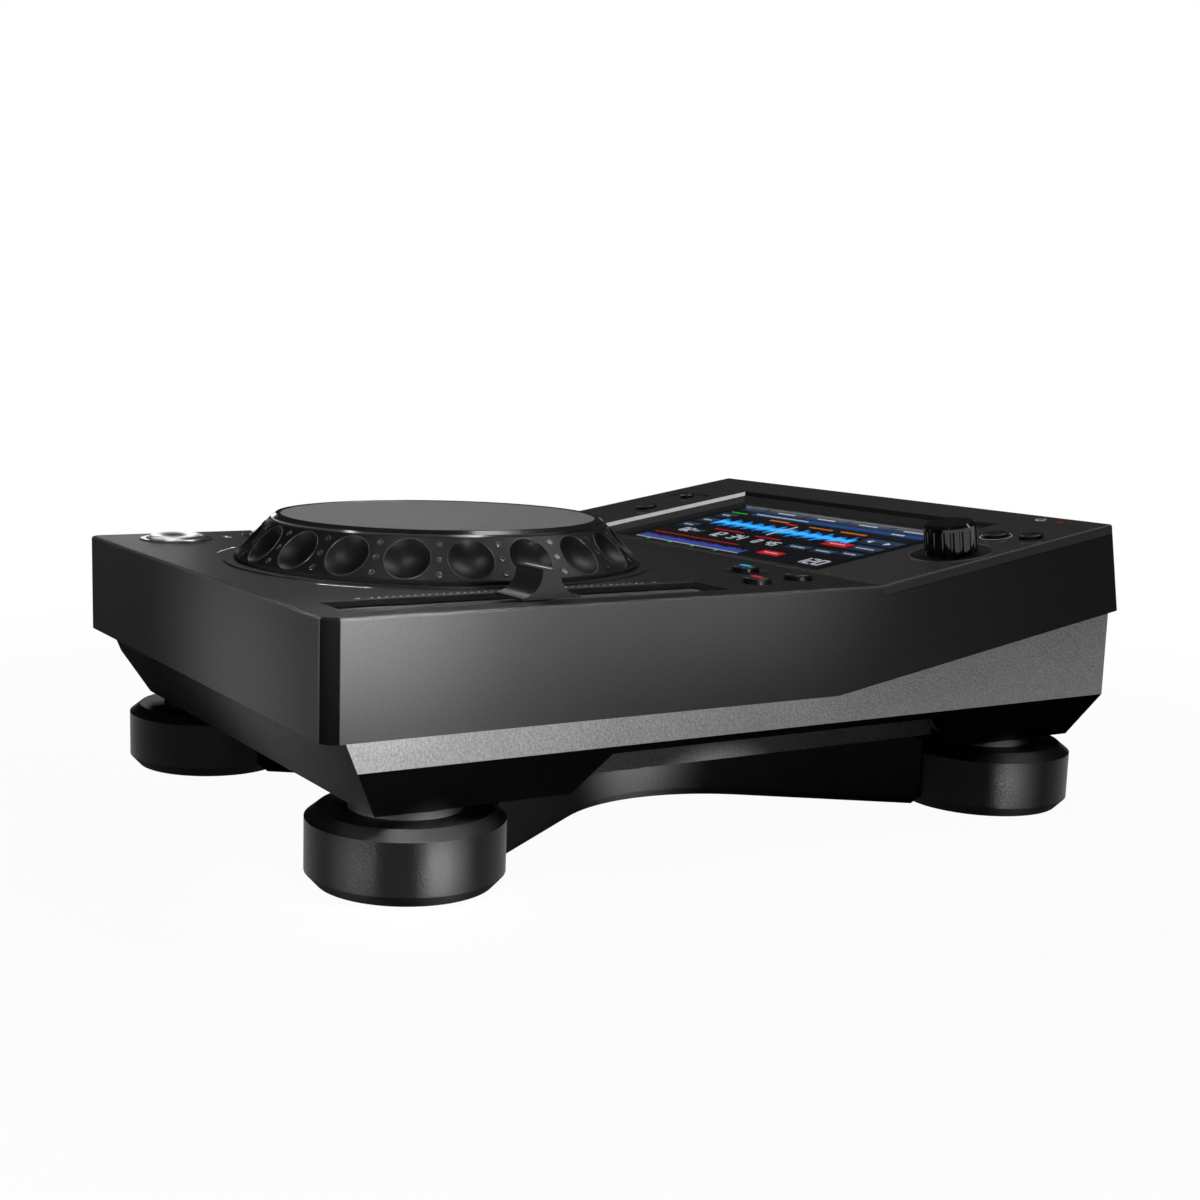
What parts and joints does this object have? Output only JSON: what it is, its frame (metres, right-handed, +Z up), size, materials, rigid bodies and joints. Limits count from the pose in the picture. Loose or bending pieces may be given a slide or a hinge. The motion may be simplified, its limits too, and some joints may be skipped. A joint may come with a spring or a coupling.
{
  "type": "dj media player",
  "caption": "Table-top media player with a jog wheel, tempo slider, tilted touch display, selector knob and keys on a dark case that stands on round feet.",
  "frame": {"origin": "on the floor, under the middle of the outline", "axes": "+X to the user's right, +Y to the rear, +Z up"},
  "size_m": [0.2238, 0.3018, 0.1024],
  "materials": {
    "case_black": "fine-grained satin black",
    "deck_grey": "satin black",
    "wedge_black": "semi-gloss black",
    "gunmetal": "grained gunmetal",
    "base_black": "textured black",
    "foot_black": "textured black",
    "steel": "brushed",
    "jog_skirt": "satin black",
    "jog_plate": "satin dark grey",
    "trim_gloss": "gloss black",
    "inner_black": "moulded",
    "bearing_brass": "turned",
    "slider_black": "satin black with a pale index line",
    "board_green": "solder mask",
    "display_glass": "polished",
    "display_module": "dark frame",
    "socket_metal": "plated",
    "tray_black": "satin black",
    "key_silver": "spun satin",
    "ring_clear": "translucent",
    "lamp": "translucent",
    "key_black": "satin black with small windows",
    "flap_black": "satin black"
  },
  "bodies": {
    "chassis": {"top_case": "case_black", "deck_panel": "deck_grey", "wedge_panel": "wedge_black", "display_bezel": "wedge_black", "lower_case": "gunmetal", "base_plinth": "base_black", "foot_necks": "base_black", "foot_front_left": "foot_black", "foot_front_right": "foot_black", "foot_rear_left": "foot_black", "foot_rear_right": "foot_black", "screws": "steel", "fader_rails": "steel", "jog_surround": "trim_gloss", "jog_housing": "inner_black", "jog_sensor": "inner_black", "fader_body": "inner_black", "selector_encoder": "inner_black", "key_switches": "inner_black", "jog_bush": "bearing_brass", "left_key_board": "board_green", "right_key_board": "board_green", "wedge_board": "board_green", "main_board": "board_green", "display_glass": "display_glass", "display_module": "display_module", "usb_socket": "socket_metal", "network_socket": "socket_metal", "link_socket": "socket_metal", "phono_jacks": "socket_metal", "rear_tray": "tray_black", "power_inlet": "tray_black", "light_rings": "ring_clear", "standby_lamp": "lamp"},
    "jog": {"jog_ring": "jog_skirt", "jog_top_plate": "jog_plate", "jog_shaft": "steel", "jog_encoder_disc": "inner_black"},
    "tempo": {"tempo_cap": "slider_black", "tempo_lever": "steel"},
    "selector_push": {"selector_collar": "inner_black"},
    "selector_dial": {"selector_shaft": "steel", "selector_knob": "trim_gloss"},
    "usb_cover": {"usb_flap": "flap_black"},
    "power": {"power_button": "tray_black"},
    "jog_mode": {"jog_mode_button": "key_black"},
    "master_tempo": {"master_tempo_button": "key_black"},
    "tempo_range": {"tempo_range_button": "key_black"},
    "track_back": {"track_back_button": "key_black"},
    "track_forward": {"track_forward_button": "key_black"},
    "search_back": {"search_back_button": "key_black"},
    "search_forward": {"search_forward_button": "key_black"},
    "loop_in": {"loop_in_button": "key_black"},
    "loop_out": {"loop_out_button": "key_black"},
    "loop_exit": {"loop_exit_button": "key_black"},
    "play": {"play_button": "key_silver"},
    "cue": {"cue_button": "key_silver"},
    "back": {"back_button": "key_black"},
    "tag": {"tag_button": "key_black"},
    "usb_stop": {"usb_stop_button": "key_black"}
  },
  "joints": [
    {"name": "jog_turn", "type": "hinge", "parent": "chassis", "child": "jog", "pos_m": [0.001, -0.0615, 0.0835], "axis": [0, 0, 1], "continuous": true},
    {"name": "tempo_slide", "type": "slide", "parent": "chassis", "child": "tempo", "axis": [0, 1, 0], "range_m": [-0.046, 0.046]},
    {"name": "selector_press", "type": "slide", "parent": "chassis", "child": "selector_push", "axis": [0, 0.1605, -0.987], "range_m": [0, 0.0008], "stiffness_N_per_m": 800},
    {"name": "selector_turn", "type": "hinge", "parent": "selector_push", "child": "selector_dial", "pos_m": [0.09276, 0.08633, 0.09077], "axis": [0, -0.1605, 0.987], "continuous": true},
    {"name": "usb_cover_hinge", "type": "hinge", "parent": "chassis", "child": "usb_cover", "pos_m": [-0.08905, 0.11234, 0.09404], "axis": [-1, 0, 0], "range_deg": [0, 100]},
    {"name": "power_press", "type": "slide", "parent": "chassis", "child": "power", "axis": [0, -1, 0], "range_m": [0, 0.002], "stiffness_N_per_m": 500},
    {"name": "jog_mode_press", "type": "slide", "parent": "chassis", "child": "jog_mode", "axis": [0, 0, -1], "range_m": [0, 0.0008], "stiffness_N_per_m": 600},
    {"name": "master_tempo_press", "type": "slide", "parent": "chassis", "child": "master_tempo", "axis": [0, 0, -1], "range_m": [0, 0.0008], "stiffness_N_per_m": 600},
    {"name": "tempo_range_press", "type": "slide", "parent": "chassis", "child": "tempo_range", "axis": [0, 0, -1], "range_m": [0, 0.0008], "stiffness_N_per_m": 600},
    {"name": "track_back_press", "type": "slide", "parent": "chassis", "child": "track_back", "axis": [0, 0, -1], "range_m": [0, 0.0008], "stiffness_N_per_m": 600},
    {"name": "track_forward_press", "type": "slide", "parent": "chassis", "child": "track_forward", "axis": [0, 0, -1], "range_m": [0, 0.0008], "stiffness_N_per_m": 600},
    {"name": "search_back_press", "type": "slide", "parent": "chassis", "child": "search_back", "axis": [0, 0, -1], "range_m": [0, 0.0008], "stiffness_N_per_m": 600},
    {"name": "search_forward_press", "type": "slide", "parent": "chassis", "child": "search_forward", "axis": [0, 0, -1], "range_m": [0, 0.0008], "stiffness_N_per_m": 600},
    {"name": "loop_in_press", "type": "slide", "parent": "chassis", "child": "loop_in", "axis": [0, 0, -1], "range_m": [0, 0.0008], "stiffness_N_per_m": 600},
    {"name": "loop_out_press", "type": "slide", "parent": "chassis", "child": "loop_out", "axis": [0, 0, -1], "range_m": [0, 0.0008], "stiffness_N_per_m": 600},
    {"name": "loop_exit_press", "type": "slide", "parent": "chassis", "child": "loop_exit", "axis": [0, 0, -1], "range_m": [0, 0.0008], "stiffness_N_per_m": 600},
    {"name": "play_press", "type": "slide", "parent": "chassis", "child": "play", "axis": [0, 0, -1], "range_m": [0, 0.0012], "stiffness_N_per_m": 800},
    {"name": "cue_press", "type": "slide", "parent": "chassis", "child": "cue", "axis": [0, 0, -1], "range_m": [0, 0.0012], "stiffness_N_per_m": 800},
    {"name": "back_press", "type": "slide", "parent": "chassis", "child": "back", "axis": [0, 0.1605, -0.987], "range_m": [0, 0.0008], "stiffness_N_per_m": 600},
    {"name": "tag_press", "type": "slide", "parent": "chassis", "child": "tag", "axis": [0, 0.1605, -0.987], "range_m": [0, 0.0008], "stiffness_N_per_m": 600},
    {"name": "usb_stop_press", "type": "slide", "parent": "chassis", "child": "usb_stop", "axis": [0, 0.1605, -0.987], "range_m": [0, 0.0008], "stiffness_N_per_m": 600}
  ]
}
